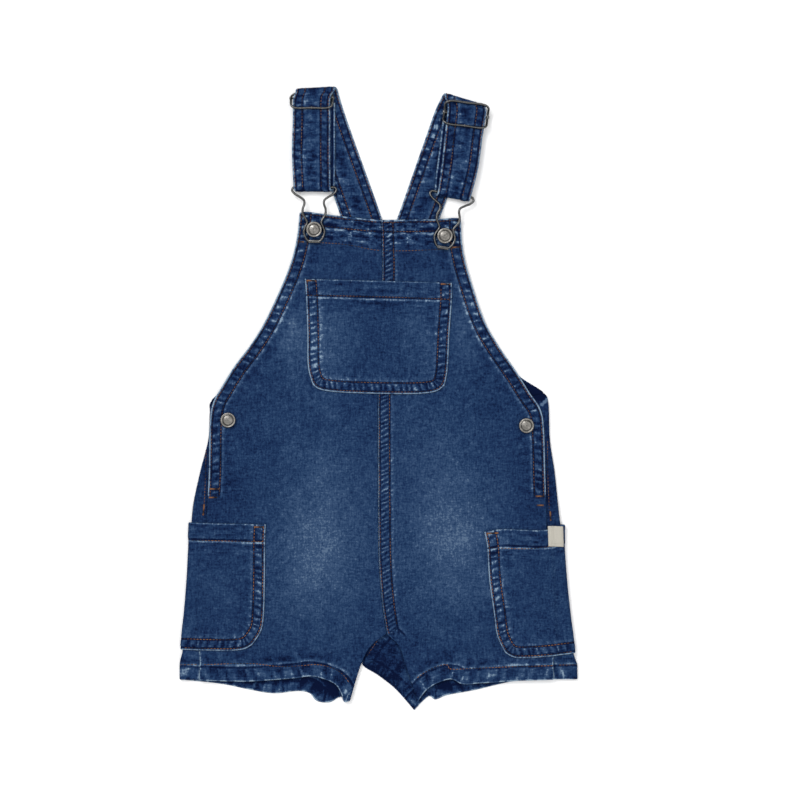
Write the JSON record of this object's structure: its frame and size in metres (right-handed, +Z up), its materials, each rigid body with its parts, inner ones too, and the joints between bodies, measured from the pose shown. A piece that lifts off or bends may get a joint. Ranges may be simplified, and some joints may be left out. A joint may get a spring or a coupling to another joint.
{
  "type": "denim shortalls",
  "caption": "Toddler's denim shortalls laid flat, with a bib and patch pocket, buckled straps, buttoned sides, side pockets and short legs.",
  "frame": {"origin": "centre of the garment's footprint on the surface that it lies on", "axes": "+X to the right of the front as seen from above, +Y from the legs towards the straps, +Z up from the surface"},
  "size_m": [0.3192, 0.4998, 0.0099],
  "materials": {
    "denim": "washed mid blue twill, worn pale along the seams",
    "tag": "plain woven off-white label",
    "nickel": "antique nickel wire",
    "silver": "antique silver, dark in the rings"
  },
  "bodies": {
    "root": {"front_left": "denim", "front_right": "denim", "back_left": "denim", "back_right": "denim", "bib_pocket": "denim", "side_pocket_left": "denim", "side_pocket_right": "denim", "tag": "tag", "strap_left": "denim", "strap_right": "denim", "clip_left": "nickel", "clip_right": "nickel", "slider_left": "nickel", "slider_right": "nickel", "bib_button_left": "silver", "bib_button_right": "silver", "side_button_left": "silver", "side_button_right": "silver"}
  },
  "joints": []
}
